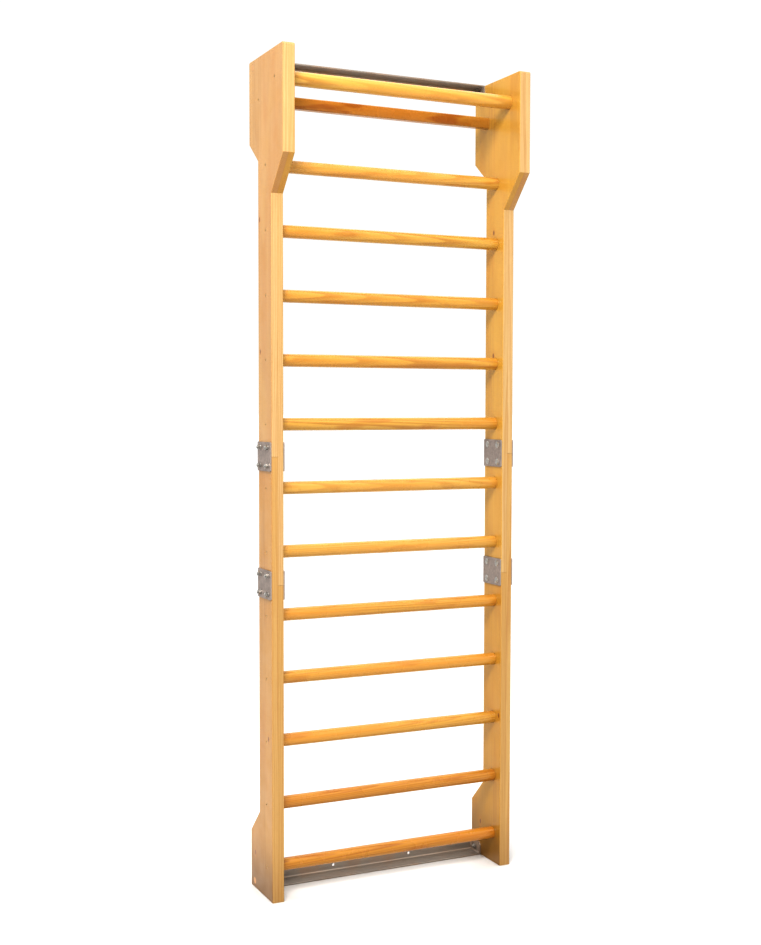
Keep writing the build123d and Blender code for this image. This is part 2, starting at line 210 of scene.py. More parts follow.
class WallBarsHardware(PropertyGroup):
    """Sizes of the bolts, nuts, washers, plugs and screws."""

    bolt_diameter: length_setting("Bolt", "Thread diameter of the bolts", 8 * MM)
    thread_pitch: length_setting("Thread pitch", "Advance of the thread in one turn", 1.25 * MM)
    thread_depth: length_setting("Thread depth", "Crest to root", 0.68 * MM)
    threaded_length: length_setting("Threaded length", "Thread at a bolt's end", 16 * MM)
    coach_head_height: length_setting("Coach head height", "Height of the domed head", 4.6 * MM)
    coach_head_rim: length_setting("Coach head rim", "Straight edge under the dome", 0.6 * MM)
    neck_length: length_setting("Neck length", "Square neck in the plate", 4 * MM)
    hex_head_height: length_setting("Hexagon head height", "Height of the rail bolts' heads",
                                    5.3 * MM)
    across_flats: length_setting("Across flats", "Spanner size of nuts and heads", NUT_SIZE.z)
    nut_height: length_setting("Nut height", "Height of a nut", NUT_SIZE.x)
    washer_diameter: length_setting("Washer diameter", "Outside of a washer", WASHER_SIZE.z)
    washer_thickness: length_setting("Washer thickness", "Thickness of a washer", WASHER_SIZE.x)
    plug_diameter: length_setting("Plug diameter", "Diameter of a wooden plug", PLUG_SIZE.z)
    plug_thickness: length_setting("Plug thickness", "Thickness of a plug", PLUG_SIZE.x)
    screw_head_diameter: length_setting("Screw head", "Diameter of a screw's head", SCREW_SIZE.z)
    screw_diameter: length_setting("Screw", "Diameter of a screw", 4.5 * MM)
    screw_length: length_setting("Screw length", "Length of a screw", SCREW_SIZE.x)
    seed: IntProperty(name="Seed", description="Turns nuts and screws to where they stopped",
                      default=3)


class WallBarsSteelFinish(PropertyGroup):
    """Colours of the steel."""

    plate_colour: colour_setting("Splice plates", "Galvanised sheet", (0.40, 0.345, 0.315))
    rail_colour: colour_setting("Rails", "Rolled steel under lacquer", (0.39, 0.355, 0.32))
    bolt_colour: colour_setting("Bolts", "Bright zinc", (0.50, 0.485, 0.46))
    screw_colour: colour_setting("Screws", "Yellow zinc", (0.62, 0.46, 0.25))
    plug_colour: colour_setting("Plugs", "Wood of the plugs", (0.54, 0.335, 0.150))


class WallBarsStage(PropertyGroup):
    """Floor, light and camera."""

    floor_colour: colour_setting("Floor", "Plain pale floor", (0.70, 0.70, 0.697))
    floor_size: length_setting("Floor size", "Width of the floor", 400.0)
    sky_strength: amount_setting("Room light", "Even light from all round", 1.03)
    overhead_strength: amount_setting("Overhead light", "Even light from high above", 1.9)
    key_power: amount_setting("Key light", "Power of the soft light at the front left", 140,
                              subtype="POWER", unit="POWER")
    key_size: length_setting("Key size", "Width of the soft light", 1.2)
    key_place: place_setting("Key place", "Where the soft light hangs", (-1.9, -2.5, 3.9))
    camera_place: place_setting(
        "Camera place", "Where the camera stands", (-1.7496, -3.6324, 1.4423))
    camera_yaw: angle_setting("Camera yaw", "Turn to the right from straight ahead", 25.287)
    camera_pitch: angle_setting("Camera pitch", "Tilt above the horizon", -2.873)
    camera_roll: angle_setting("Camera roll", "Lean of the camera", 0.11)
    camera_lens: amount_setting("Camera lens", "Focal length on a sensor 36 mm wide", 63.55,
                                subtype="DISTANCE_CAMERA")
    print_gamma: amount_setting("Picture gamma", "Below 1 the middle tones are deeper", 0.65)


class WallBarsSettings(PropertyGroup):
    """All settings of the wall bars."""

    boards: PointerProperty(type=WallBarsBoardFinish)
    bars: PointerProperty(type=WallBarsBarFinish)
    hardware: PointerProperty(type=WallBarsHardware)
    steel: PointerProperty(type=WallBarsSteelFinish)
    stage: PointerProperty(type=WallBarsStage)


def new_object(name, data):
    thing = bpy.data.objects.new(name, data)
    bpy.context.scene.collection.objects.link(thing)
    return thing


# ---- laying out nodes ----
class Bench:
    """Adds nodes to a tree and joins them up."""

    def __init__(self, tree):
        self.tree = tree
        self.laid = 0

    def add(self, kind, values=None, **settings):
        node = self.tree.nodes.new(kind)
        node.location = (200 * (self.laid // 8), -180 * (self.laid % 8))
        self.laid += 1
        for key, value in settings.items():
            setattr(node, key, value)
        for key, value in (values or {}).items():
            self.join(value, node.inputs[key])
        return node

    def first(self, kind, values=None, **settings):
        """First output of a new node."""
        return self.add(kind, values, **settings).outputs[0]

    def shape(self, kind, values=None, **settings):
        """First output of a new geometry node."""
        return self.first(f"GeometryNode{kind}", values, **settings)

    def join(self, value, socket):
        if isinstance(value, NodeSocket):
            self.tree.links.new(value, socket)
        elif socket.type == "RGBA":
            socket.default_value = (*value, 1.0)
        else:
            socket.default_value = value

    def math(self, operation, *values, clamp=False):
        return self.first("ShaderNodeMath", dict(enumerate(values)), operation=operation,
                          use_clamp=clamp)

    def plus(self, one, other):
        return self.math("ADD", one, other)

    def minus(self, one, other):
        return self.math("SUBTRACT", one, other)

    def times(self, one, other, clamp=False):
        return self.math("MULTIPLY", one, other, clamp=clamp)

    def over(self, one, other, clamp=False):
        return self.math("DIVIDE", one, other, clamp=clamp)

    def half(self, value):
        return self.times(value, 0.5)

    def flipped(self, value):
        return self.times(value, -1.0)

    def size(self, value):
        return self.math("ABSOLUTE", value)

    def vector(self, operation, *values, out="Vector"):
        node = self.add("ShaderNodeVectorMath", dict(enumerate(values)), operation=operation)
        return node.outputs[out]

    def stretched(self, vector, factors):
        return self.vector("MULTIPLY", vector, factors)

    def scaled(self, vector, amount):
        return self.first("ShaderNodeVectorMath", {0: vector, "Scale": amount}, operation="SCALE")

    def between(self, start, end, share):
        """start where share is 0 and end where it is 1."""
        return self.first("ShaderNodeMix", {0: share, 2: start, 3: end}, data_type="FLOAT",
                          clamp_factor=False)

    def step(self, value, low, high, to_low=0.0, to_high=1.0):
        """Smooth step of value between low and high."""
        return self.first("ShaderNodeMapRange", {
            "Value": value, "From Min": low, "From Max": high, "To Min": to_low, "To Max": to_high,
        }, interpolation_type="SMOOTHSTEP")

    def tint(self, share, under, over, blend="MIX"):
        node = self.add("ShaderNodeMix", {0: share, 6: under, 7: over}, data_type="RGBA",
                        blend_type=blend)
        return node.outputs[2]

    def coats(self, colour, *coats):
        """Colour with each coat, a share and a colour, laid over it in turn."""
        for share, over in coats:
            colour = self.tint(share, colour, over)
        return colour

    def xyz(self, x=0.0, y=0.0, z=0.0):
        return self.first("ShaderNodeCombineXYZ", {0: x, 1: y, 2: z})

    def split(self, vector):
        return self.add("ShaderNodeSeparateXYZ", {0: vector}).outputs

    def draw(self, number):
        """Random share for a whole number."""
        return self.first("ShaderNodeTexWhiteNoise", {"W": number}, noise_dimensions="1D")

    def noise(self, place, scale, detail=2.0, roughness=0.5, **more):
        return self.first("ShaderNodeTexNoise", {
            "Vector": place, "Scale": scale, "Detail": detail, "Roughness": roughness, **more,
        }, noise_dimensions="4D" if "W" in more else "3D")


# ---- materials ----
def new_material(name):
    """Material, its bench, its shader and the coordinates of its surface."""
    material = bpy.data.materials.new(name)
    material.use_nodes = True
    tree = material.node_tree
    tree.nodes.clear()
    bench = Bench(tree)
    shader = bench.add("ShaderNodeBsdfPrincipled")
    bench.add("ShaderNodeOutputMaterial", {"Surface": shader.outputs[0]})
    return material, bench, shader, bench.add("ShaderNodeTexCoord").outputs


def finish_surface(bench, shader, colour, roughness, relief, strength, depth, metallic=0.0):
    """Join a surface's colour, roughness and relief to its shader."""
    bump = bench.first("ShaderNodeBump", {
        "Strength": strength, "Distance": depth, "Height": relief})
    for key, value in (("Base Color", colour), ("Roughness", roughness), ("Normal", bump),
                       ("Metallic", metallic)):
        bench.join(value, shader.inputs[key])


def shade(colour, *factors):
    """Colour times one factor, or times a factor for each of its three values."""
    if len(factors) == 1:
        factors *= 3
    return tuple(min(c * f, 1.0) for c, f in zip(colour, factors))


def year_rings(bench, straight, along_grain, ring_width):
    """Share of late wood in rings round the Z axis, some years stronger than others."""
    cross = bench.split(straight)
    radius = bench.vector("LENGTH", bench.xyz(cross[0], cross[1]), out="Value")
    rings = bench.over(radius, ring_width)
    rings = bench.plus(rings, bench.times(along_grain(0.12, 9.0, 3.0), 3.2))
    rings = bench.plus(rings, bench.times(along_grain(0.05, 60.0), 0.55))
    part = bench.math("FRACT", rings)
    late = bench.times(bench.step(part, 0.25, 0.82), bench.step(part, 1.0, 0.9))
    age = bench.draw(bench.math("FLOOR", rings))
    return bench.times(late, bench.between(0.45, 1.0, age))


def own_stock(bench, at, number):
    """Place in the wood, moved so that each numbered bar is cut from another spot."""
    swing = bench.times(bench.math("SINE", bench.times(number, 2.4)), 0.02)
    sway = bench.times(bench.math("COSINE", bench.times(number, 3.7)), 0.014)
    hop = bench.vector("ADD", bench.scaled((0.37, 0.0, 0.0), number),
                       bench.xyz(0.0, swing, sway))
    at = bench.vector("ADD", at, bench.xyz(0.0, 0.0, bench.times(number, RUNG_PITCH)))
    return bench.vector("ADD", at, hop)


def bar_tones(bench, colour, warm, number, height):
    """Tones from bar to bar: every fifth or sixth is paler, and the lowest get painted shade."""
    colour = bench.tint(bench.between(0.0, 0.4, bench.draw(number)), colour, warm)
    paler = bench.math("COSINE", bench.times(number, 1.142))
    colour = bench.tint(bench.step(paler, 0.2, 1.0, 0.0, 0.8), colour, (1.05, 1.14, 1.45),
                        "MULTIPLY")
    # Painted shade: bars below 0.45 m are darkened more towards the floor.
    return bench.tint(bench.step(height, 0.45, 0.19), colour, (0.85, 0.66, 0.36), "MULTIPLY")


def board_tones(bench, colour, place, late, grain, patch, edge, summer, pale, deep):
    """Sawn edges with painted highlight, end grain, worn arrises, glue line and painted foot
    shade.

    Gives the colour and how squarely each point faces to the side.
    """
    facing = bench.split(place["Normal"])
    broad, upright = bench.size(facing[0]), bench.size(facing[2])
    narrow = bench.step(broad, 0.75, 0.3)
    # Narrow front and back faces get the edge colour: partly their own tone, partly painted
    # highlight.
    sawn_and_highlit = bench.times(narrow, bench.step(upright, 0.75, 0.3))
    edge_grain_and_highlight = bench.coats(edge, (bench.half(late), summer), (bench.times(grain, 0.2), deep))
    ends = bench.times(bench.step(upright, 0.35, 0.95), 0.55)
    arris = bench.times(bench.step(broad, 0.1, 0.5), bench.step(broad, 0.995, 0.8))
    at = bench.split(place["Object"])
    from_glue = bench.size(bench.minus(bench.size(at[0]), GLUE_X))
    glue = bench.times(narrow, bench.step(from_glue, 0.7 * MM, 0.3 * MM))
    # Painted shade: darker towards the floor below 0.2 m, strongest on the broad faces.
    low = bench.times(bench.step(at[2], 0.20, 0.0, 0.0, 0.95), bench.between(0.3, 1.0, broad))
    low = bench.times(low, bench.between(0.7, 1.1, patch), clamp=True)
    return bench.coats(
        colour, (bench.times(sawn_and_highlit, 0.8), edge_grain_and_highlight), (ends, deep),
        (bench.times(arris, 0.45), pale), (bench.times(glue, 0.6), deep),
        (low, shade(deep, 0.6))), broad


def knots(bench, colour, straight, broad, warm, knot):
    """Knots that run through a board's thickness, and the share of their cores."""
    cross = bench.split(straight)
    cell = bench.add("ShaderNodeTexVoronoi", {
        "Vector": bench.xyz(cross[1], bench.times(cross[2], 0.6)), "Scale": 8.5,
        "Randomness": 0.9}, voronoi_dimensions="2D").outputs
    chosen = bench.step(bench.split(cell["Color"])[0], 0.80, 0.82)
    chosen = bench.times(chosen, bench.step(broad, 0.6, 0.9))
    core = bench.times(chosen, bench.step(cell["Distance"], 0.05, 0.025))
    halo = bench.times(chosen, bench.step(cell["Distance"], 0.14, 0.04))
    colour = bench.coats(colour, (bench.times(halo, 0.35), warm), (bench.times(core, 0.8), knot))
    return colour, core


def varnished_wood(name, spring, summer, ring_width, gloss, *, along, pith, drift, contrast,
                   board=None, numbered=False, flame=0.0):
    """Year rings round a pith line, fibres, tone patches and a coat of varnish.

    along is the axis of the grain, pith the line's place across it, drift its lean and flame
    the strength of its long red-brown streaks. board holds a board's edge and knot colours.
    """
    material, bench, shader, place = new_material(name)
    at = place["Object"]
    if numbered:
        number = bench.add("ShaderNodeAttribute", attribute_name="bar_number").outputs["Fac"]
        at = own_stock(bench, at, number)
    turned = at
    if along == "X":
        turned = bench.first("ShaderNodeMapping", {
            "Vector": at, "Rotation": (0.0, math.radians(90), 0.0)})
    straight = bench.first("ShaderNodeMapping", {
        "Vector": turned, "Location": (*pith, 0.0),
        "Rotation": tuple(math.radians(a) for a in drift)})

    def along_grain(squeeze, scale, detail=2.0, roughness=0.5):
        """Noise drawn out along the grain."""
        return bench.noise(bench.stretched(straight, (1.0, 1.0, squeeze)), scale, detail,
                           roughness)

    late = year_rings(bench, straight, along_grain, ring_width)
    fibre = along_grain(0.022, 620.0, 3.0, 0.65)
    streak = along_grain(0.04, 55.0, 3.0, 0.6)
    patch = along_grain(0.3, 6.0)
    warm = shade(spring, 1.03, 0.86, 0.72)
    pale = shade(spring, 1.10, 1.13, 1.12)
    deep = shade(spring, 0.72, 0.62, 0.5)

    colour = bench.coats(
        spring, (bench.times(late, contrast), summer),
        (bench.step(patch, 0.4, 0.66, 0.0, 0.8), warm),
        (bench.step(streak, 0.5, 0.72, 0.0, 0.5), pale))
    if board:
        cloud = along_grain(0.22, 13.0, 1.5)
        across = bench.plus(bench.split(at)[1], 1.0)
        stave = bench.math("FLOOR", bench.over(across, STAVE_WIDTH))
        draw = bench.draw(bench.plus(stave, pith[0] * 100))
        colour = bench.coats(colour, (bench.step(cloud, 0.5, 0.6, 0.0, 0.5), pale),
                             (bench.between(0.0, 0.55, draw), pale))
    if flame:
        tongue = along_grain(0.16, 38.0, 2.0, 0.45)
        burnt = shade(spring, 0.74, 0.50, 0.34)
        colour = bench.tint(bench.step(tongue, 0.56, 0.68, 0.0, flame), colour, burnt)
    if numbered:
        colour = bar_tones(bench, colour, warm, number, bench.split(place["Object"])[2])
    grain = bench.step(fibre, 0.35, 0.68)
    colour = bench.tint(bench.times(grain, 0.16), colour, deep)
    if board:
        edge, knot = board
        colour, broad = board_tones(
            bench, colour, place, late, grain, patch, edge, summer, pale, deep)
        colour, core = knots(bench, colour, straight, broad, warm, knot)
        late = bench.math("MAXIMUM", late, core)

    rough = bench.step(bench.noise(at, 14.0, 3.0), 0.3, 0.75, gloss - 0.06, gloss + 0.1)
    relief = bench.plus(bench.half(fibre), bench.half(late))
    finish_surface(bench, shader, colour, rough, relief, 0.35, 0.25 * MM)
    shader.inputs["IOR"].default_value = 1.5
    shader.inputs["Coat Weight"].default_value = 0.35
    shader.inputs["Coat Roughness"].default_value = 0.12
    return material


def zinc_sheet(name, base):
    """Galvanised steel: spangle, rolling streaks and rubbed edges."""
    material, bench, shader, place = new_material(name)
    at = place["Object"]
    flake = bench.add("ShaderNodeTexVoronoi", {
        "Vector": at, "Scale": 190.0, "Randomness": 1.0}).outputs["Color"]
    flake = bench.split(flake)[0]
    cloud = bench.noise(at, 26.0, 4.0, 0.6)
    rolled = bench.noise(bench.stretched(at, (1.0, 1.0, 0.03)), 900.0)
    dark, light = shade(base, 0.72), shade(base, 1.25)
    facing = bench.split(place["Normal"])
    rim = bench.step(bench.size(facing[0]), 0.85, 0.4)
    colour = bench.coats(dark, (flake, light), (0.45, base),
                         (bench.step(cloud, 0.45, 0.72, 0.0, 0.5), dark), (bench.half(rim), light))
    rough = bench.plus(bench.step(flake, 0.0, 1.0, 0.40, 0.54), bench.times(rolled, 0.06))
    finish_surface(bench, shader, colour, rough, cloud, 0.3, 0.2 * MM, metallic=0.8)
    return material


def rolled_steel(name, base):
    """Dark mill scale with brown tints, a painted highlight on the bend and painted shade on top.
    """
    material, bench, shader, place = new_material(name)
    at = place["Object"]
    scale = bench.noise(bench.stretched(at, (0.06, 1.0, 1.0)), 130.0, 4.0, 0.6)
    cloud = bench.noise(at, 9.0, 4.0, 0.65)
    speck = bench.noise(at, 420.0)
    light, dark = shade(base, 1.75), shade(base, 0.62)
    facing = bench.split(place["Normal"])
    # Painted highlight on the rounded bend of the angle.
    painted_bend_highlight = bench.times(bench.step(bench.size(facing[1]), 0.12, 0.5),
                       bench.step(bench.size(facing[2]), 0.12, 0.5))
    colour = bench.coats(
        base, (bench.step(cloud, 0.4, 0.7, 0.0, 0.7), shade(base, 1.15, 0.88, 0.68)),
        (bench.step(scale, 0.45, 0.75, 0.0, 0.6), dark),
        (bench.step(speck, 0.6, 0.75, 0.0, 0.4), light),
        # Painted shade: faces that look up are darkened.
        (bench.times(painted_bend_highlight, 0.25), light), (bench.step(facing[2], 0.7, 0.95, 0.0, 0.5), dark))
    rough = bench.step(scale, 0.3, 0.8, 0.36, 0.58)
    finish_surface(bench, shader, colour, rough, scale, 0.35, 0.3 * MM, metallic=0.45)
    return material


def plated_steel(name, base, rough):
    """Zinc plating on small hardware, duller in patches."""
    material, bench, shader, place = new_material(name)
    at = place["Object"]
    cloud = bench.noise(at, 240.0, 3.0, 0.6)
    scratch = bench.noise(bench.stretched(at, (1.0, 0.15, 1.0)), 2600.0)
    dark = shade(base, 0.66)
    colour = bench.coats(base, (bench.step(cloud, 0.42, 0.7, 0.0, 0.65), dark),
                         (bench.step(scratch, 0.55, 0.8, 0.0, 0.3), dark))
    rough = bench.step(cloud, 0.3, 0.75, rough, rough + 0.16)
    finish_surface(bench, shader, colour, rough, cloud, 0.25, 0.1 * MM, metallic=0.95)
    return material


def paint_node(node, material):
    """Put a finish on a CAD node's own object."""
    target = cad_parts[node]
    if not target.material_slots:
        target.data.materials.append(material)
    for slot in target.material_slots:
        slot.material = material


# ---- geometry node trees ----
def new_tree(name, inputs):
    """Geometry node tree with the named inputs, its bench and its input sockets."""
    tree = bpy.data.node_groups.new(name, "GeometryNodeTree")
    tree.is_modifier = True
    tree.interface.new_socket("Seats", in_out="INPUT", socket_type="NodeSocketGeometry")
    for label, kind in inputs.items():
        tree.interface.new_socket(label, in_out="INPUT", socket_type=f"NodeSocket{kind}")
    tree.interface.new_socket("Made", in_out="OUTPUT", socket_type="NodeSocketGeometry")
    bench = Bench(tree)
    return tree, bench, bench.add("NodeGroupInput").outputs


def sizes(*labels):
    """Inputs for the named lengths, then those that every hardware tree has."""
    inputs = {label: "Float" for label in labels}
    inputs.update({"Side Turn": "Float", "Seed": "Int", "Finish": "Material"})
    return inputs


def turned(bench, sections, sides, flats=None):
    """Closed mesh turned about X.

    Each section is (rows, shape). shape takes the share along its rows and the share of a full
    turn, and gives x and radius. flats clips the radius to a hexagon of that width.
    """
    total = sum(rows for rows, shape in sections)
    grid = bench.shape("MeshGrid", {
        "Size X": 1.0, "Size Y": 1.0, "Vertices X": sides + 1, "Vertices Y": total})
    spot = bench.split(bench.shape("InputPosition"))
    turn = bench.plus(spot[0], 0.5)
    row = bench.math("ROUND", bench.times(bench.plus(spot[1], 0.5), total - 1))
    x = radius = None
    start = 0
    for rows, shape in sections:
        share = 0.0
        if rows > 1:
            share = bench.over(bench.minus(row, start), rows - 1, clamp=True)
        next_x, next_radius = shape(share, turn)
        if x is None:
            x, radius = next_x, next_radius
        else:
            reached = bench.math("GREATER_THAN", row, start - 0.5)
            x = bench.between(x, next_x, reached)
            radius = bench.between(radius, next_radius, reached)
        start += rows
    angle = bench.times(turn, math.tau)
    if flats is not None:
        sixth = math.tau / 6
        off = bench.minus(bench.math("MODULO", angle, sixth), sixth / 2)
        flat = bench.over(bench.half(flats), bench.math("COSINE", off))
        radius = bench.math("MINIMUM", radius, flat)
    outward = bench.xyz(0.0, bench.math("COSINE", angle), bench.math("SINE", angle))
    place = bench.vector("ADD", bench.xyz(x), bench.scaled(outward, radius))
    shaped = bench.shape("SetPosition", {"Geometry": grid, "Position": place})
    return bench.shape("MergeByDistance", {"Geometry": shaped, "Distance": 1e-6})


def at_point(x, radius):
    return 1, lambda share, turn: (x, radius)


def along(bench, rows, start, end):
    return rows, lambda share, turn: (
        bench.between(start[0], end[0], share), bench.between(start[1], end[1], share))


def screw_thread(bench, given, rows, start, end, radius):
    """Rows of a helical thread that runs out in a bevel at its end."""
    depth, pitch = given["Thread Depth"], given["Thread Pitch"]

    def ridges(share, turn):
        x = bench.between(start, end, share)
        phase = bench.math("FRACT", bench.minus(bench.over(x, pitch), turn))
        ridge = bench.size(bench.math("MULTIPLY_ADD", phase, 2.0, -1.0))
        ridge = bench.math("MULTIPLY_ADD", ridge, 1.5, -0.25, clamp=True)
        root = bench.minus(radius, depth)
        crest = bench.math("MULTIPLY_ADD", ridge, depth, root)
        return x, bench.math("MINIMUM", crest, bench.plus(root, bench.minus(end, x)))
    return rows, ridges


def threaded_shank(bench, given):
    """Sections of a bolt from the underside of its head to the end of its thread."""
    shank = bench.half(given["Shank Diameter"])
    end = given["Shank Length"]
    thread_from = bench.minus(end, given["Thread Length"])
    core = bench.minus(shank, bench.times(given["Thread Depth"], 2.0))
    return [
        at_point(0.0, shank), at_point(thread_from, shank),
        screw_thread(bench, given, BOLT_THREAD_ROWS, thread_from, end, shank),
        at_point(end, core), at_point(end, 0.0),
    ]


def set_in_place(bench, given, mesh, spin_range=math.tau):
    """Put the shape on every seat, turned to its side, and finish the tree."""
    spin = bench.add("FunctionNodeRandomValue", {2: 0.0, 3: spin_range, "Seed": given["Seed"]},
                     data_type="FLOAT").outputs[1]
    turn = bench.first("FunctionNodeEulerToRotation", {
        0: bench.xyz(spin, 0.0, given["Side Turn"])})
    close_tree(bench, given, bench.shape("InstanceOnPoints", {
        "Points": given["Seats"], "Instance": mesh, "Rotation": turn}))


def close_tree(bench, given, made):
    made = bench.shape("RealizeInstances", {"Geometry": made})
    made = bench.shape("SetMaterial", {"Geometry": made, "Material": given["Finish"]})
    bench.add("NodeGroupOutput", {"Made": made})


def make_piece(name, tree, seat_points, values, replaced, sharp=35):
    """Run a tree on the seats and keep its result as one plain mesh on the body."""
    mesh = bpy.data.meshes.new(name)
    mesh.from_pydata(seat_points, [], [])
    piece = new_object(name, mesh)
    modifier = piece.modifiers.new(tree.name, "NODES")
    modifier.node_group = tree
    sockets = {item.name: item.identifier for item in tree.interface.items_tree
               if item.in_out == "INPUT"}
    for label, value in values.items():
        modifier[sockets[label]] = value
    bpy.context.view_layer.update()
    graph = bpy.context.evaluated_depsgraph_get()
    made = bpy.data.meshes.new_from_object(piece.evaluated_get(graph))
    piece.modifiers.clear()
    piece.data = made
    made.name = name
    bpy.data.meshes.remove(mesh)
    if not made.polygons:
        raise RuntimeError(f"{name} came out empty")
    made.shade_smooth()
    made.set_sharp_from_angle(angle=math.radians(sharp))
    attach(piece, BODY)
    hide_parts(*replaced)


def store(bench, mesh, name, value, kind):
    return bench.shape("StoreNamedAttribute", {
        "Geometry": mesh, "Name": name, "Value": value}, data_type=kind, domain="POINT")


def turned_bar_tree():
    """Round bars one under another, each a little uneven, numbered from the top."""
    tree, bench, given = new_tree("Turned bars", {
        "Bar Count": "Int", "Bar Pitch": "Float", "Bar Length": "Float", "Bar Diameter": "Float",
        "End Round": "Float", "Unevenness": "Float", "Seed": "Int", "Finish": "Material"})
    half = bench.half(given["Bar Length"])
    other = bench.flipped(half)
    radius = bench.half(given["Bar Diameter"])
    slim = bench.minus(radius, given["End Round"])
    from_end = bench.minus(half, given["End Round"])
    bar = turned(bench, [
        at_point(other, 0.0), at_point(other, slim),
        along(bench, BAR_ROWS, (bench.flipped(from_end), radius), (from_end, radius)),
        at_point(half, slim), at_point(half, 0.0),
    ], sides=40)
    position = bench.shape("InputPosition")
    outward = bench.vector("NORMALIZE", bench.stretched(position, (0.0, 1.0, 1.0)))
    marked = store(bench, bar, "outward", outward, "FLOAT_VECTOR")
    drop = bench.xyz(0.0, 0.0, bench.flipped(given["Bar Pitch"]))
    row = bench.shape("MeshLine", {"Count": given["Bar Count"], "Offset": drop})
    numbered = store(bench, row, "bar_number", bench.shape("InputIndex"), "FLOAT")
    ladder = bench.shape("InstanceOnPoints", {"Points": numbered, "Instance": marked})
    ladder = bench.shape("RealizeInstances", {"Geometry": ladder})
    hung = bench.shape("InstanceOnPoints", {
        "Points": given["Seats"], "Instance": ladder})
    bars = bench.shape("RealizeInstances", {"Geometry": hung})
    number = bench.shape("InputNamedAttribute", {"Name": "bar_number"},
                         data_type="FLOAT")
    away = bench.shape("InputNamedAttribute", {"Name": "outward"},
                       data_type="FLOAT_VECTOR")
    spot = bench.stretched(position, (1.0, 3.0, 3.0))
    wave = bench.noise(spot, 6.0, W=bench.math("MULTIPLY_ADD", number, 5.3, given["Seed"]))
    inset = bench.flipped(bench.times(wave, given["Unevenness"]))
    worn = bench.shape("SetPosition", {
        "Geometry": bars, "Offset": bench.scaled(away, inset)})
    clean = bench.shape("RemoveAttribute", {"Geometry": worn, "Name": "outward"})
    close_tree(bench, given, clean)
    return tree


def coach_bolt_tree():
    """Domed head below its seat, square neck and threaded shank above it."""
    tree, bench, given = new_tree("Coach bolt", sizes(
        "Head Diameter", "Head Height", "Rim Height", "Shank Diameter", "Shank Length",
        "Thread Length", "Thread Pitch", "Thread Depth", "Neck Length"))
    head = bench.half(given["Head Diameter"])
    dome_h = bench.minus(given["Head Height"], given["Rim Height"])
    squares = bench.plus(bench.times(head, head), bench.times(dome_h, dome_h))
    dome_r = bench.over(squares, bench.times(dome_h, 2.0))
    half_angle = bench.math("ARCSINE", bench.over(head, dome_r))
    top = bench.flipped(given["Head Height"])

    def dome(share, turn):
        angle = bench.times(half_angle, share)
        drop = bench.minus(1.0, bench.math("COSINE", angle))
        return (bench.math("MULTIPLY_ADD", drop, dome_r, top),
                bench.times(bench.math("SINE", angle), dome_r))

    bolt = turned(bench, [(DOME_ROWS, dome), at_point(0.0, head), *threaded_shank(bench, given)],
                  sides=32)
    side = given["Shank Diameter"]
    neck = bench.shape("MeshCube", {
        "Size": bench.xyz(given["Neck Length"], side, side)})
    neck = bench.shape("Transform", {
        "Geometry": neck, "Translation": bench.xyz(bench.half(given["Neck Length"]))})
    joined = bench.add("GeometryNodeJoinGeometry")
    for part in (bolt, neck):
        bench.join(part, joined.inputs[0])
    set_in_place(bench, given, joined.outputs[0], 0.0)
    return tree


def hexagon_measures(bench, given):
    """Radius at a hexagon's corners, radius of its flat face, and height of the bevel between."""
    corner = bench.over(given["Across Flats"], math.sqrt(3))
    face = bench.times(given["Across Flats"], FACE_SHARE)
    return corner, face, bench.times(bench.minus(corner, face), BEVEL_SLOPE)


def nut_tree():
    """Hexagon nut with both ends bevelled, standing on its seat."""
    tree, bench, given = new_tree("Hexagon nut", sizes(
        "Across Flats", "Nut Height", "Bore Diameter"))
    corner, face, bevel = hexagon_measures(bench, given)
    bore = bench.half(given["Bore Diameter"])
    lead = bench.times(bore, 1.12)
    step = bench.minus(lead, bore)
    height = given["Nut Height"]
    nut = turned(bench, [
        at_point(step, bore), at_point(0.0, lead),
        along(bench, BEVEL_ROWS, (0.0, face), (bevel, corner)),
        along(bench, BEVEL_ROWS, (bench.minus(height, bevel), corner), (height, face)),
        at_point(height, lead), at_point(bench.minus(height, step), bore), at_point(step, bore),
    ], sides=48, flats=given["Across Flats"])
    set_in_place(bench, given, nut)
    return tree


def hexagon_bolt_tree():
    """Hexagon head below its seat and threaded shank above it."""
    tree, bench, given = new_tree("Hexagon bolt", sizes(
        "Across Flats", "Head Height", "Shank Diameter", "Shank Length", "Thread Length",
        "Thread Pitch", "Thread Depth"))
    corner, face, bevel = hexagon_measures(bench, given)
    top = bench.flipped(given["Head Height"])
    bolt = turned(bench, [
        at_point(top, 0.0),
        along(bench, BEVEL_ROWS, (top, face), (bench.plus(top, bevel), corner)),
        at_point(0.0, corner), *threaded_shank(bench, given),
    ], sides=36, flats=given["Across Flats"])
    set_in_place(bench, given, bolt)
    return tree


def washer_tree():
    """Stamped washer, its upper edge rounded."""
    tree, bench, given = new_tree("Washer", sizes("Washer Diameter", "Thickness", "Bore Diameter"))
    outside = bench.half(given["Washer Diameter"])
    bore = bench.half(given["Bore Diameter"])
    thick = given["Thickness"]
    lip = bench.times(thick, 0.25)
    shoulder = bench.minus(thick, lip)
    slim = bench.minus(outside, lip)
    washer = turned(bench, [
        at_point(0.0, bore), at_point(0.0, slim), at_point(bench.half(lip), outside),
        at_point(shoulder, outside),
        at_point(bench.math("MULTIPLY_ADD", lip, -0.3, thick),
                 bench.math("MULTIPLY_ADD", lip, -0.35, outside)),
        at_point(thick, slim), at_point(thick, bench.plus(bore, lip)),
        at_point(shoulder, bore), at_point(0.0, bore),
    ], sides=40)
    set_in_place(bench, given, washer)
    return tree


